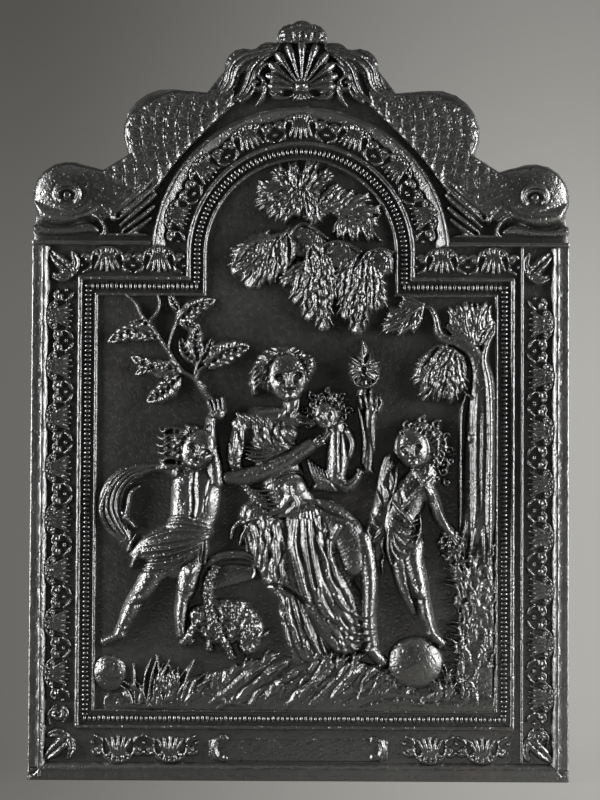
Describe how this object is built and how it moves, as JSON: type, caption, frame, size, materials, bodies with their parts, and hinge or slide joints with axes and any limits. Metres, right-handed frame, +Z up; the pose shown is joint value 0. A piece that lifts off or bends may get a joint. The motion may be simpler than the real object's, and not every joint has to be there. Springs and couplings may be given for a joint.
{
  "type": "cast-iron fireback",
  "caption": "Arched cast-iron fireback: a woman with children in relief under a tree, inside pearl and leaf borders, below a crest of two dolphins and a scallop shell.",
  "frame": {"origin": "middle of the bottom edge, halfway through the plate's thickness", "axes": "+Z up, from the hearth to the crest; -Y out of the decorated front, +Y out of the flat back; +X to the right of someone who looks at the front"},
  "size_m": [0.6016, 0.0312, 0.85],
  "materials": {
    "iron_relief": "blackened, half-bright on the worn heights",
    "iron_rough": "rough as cast, blackened"
  },
  "bodies": {
    "root": {"back_plate": "iron_rough", "rim_left": "iron_rough", "rim_right": "iron_rough", "rim_bottom": "iron_rough", "rim_shoulder_left": "iron_rough", "rim_shoulder_right": "iron_rough", "arch_roll": "iron_relief", "border_fillet": "iron_relief", "sight_fillet": "iron_relief", "side_list_right": "iron_relief", "pearls_left": "iron_relief", "pearls_right": "iron_relief", "pearls_bottom": "iron_relief", "pearls_shelf_left": "iron_relief", "pearls_shelf_right": "iron_relief", "pearls_arch": "iron_relief", "leaf_border_left": "iron_relief", "leaf_border_right": "iron_relief", "leaf_border_bottom_left": "iron_relief", "leaf_border_bottom_right": "iron_relief", "leaf_border_shelf_left": "iron_relief", "leaf_border_shelf_right": "iron_relief", "leaf_border_arch": "iron_relief", "cartouche": "iron_relief", "scallop_shell": "iron_relief", "crest_bud": "iron_relief", "crest_scroll_left": "iron_relief", "crest_scroll_right": "iron_relief", "dolphin_left": "iron_relief", "dolphin_right": "iron_relief", "woman_figure": "iron_relief", "infant": "iron_relief", "woman_skirt": "iron_relief", "flaming_vase": "iron_relief", "raised_arm": "iron_relief", "child_with_bough": "iron_relief", "bough": "iron_relief", "scarf": "iron_relief", "ball": "iron_relief", "posy": "iron_relief", "child_on_ball": "iron_relief", "child_cloth": "iron_relief", "lamb": "iron_relief", "garland": "iron_relief", "hip_cloth": "iron_relief", "crown_low_left": "iron_relief", "crown_low_middle": "iron_relief", "crown_low_right": "iron_relief", "crown_top_left": "iron_relief", "crown_top_right": "iron_relief", "leaf_spray": "iron_relief", "drooping_leaves": "iron_relief", "boulder": "iron_relief", "grass_left": "iron_relief", "grass_right": "iron_relief", "tree_trunk": "iron_relief", "ground_mound": "iron_relief"}
  },
  "joints": []
}
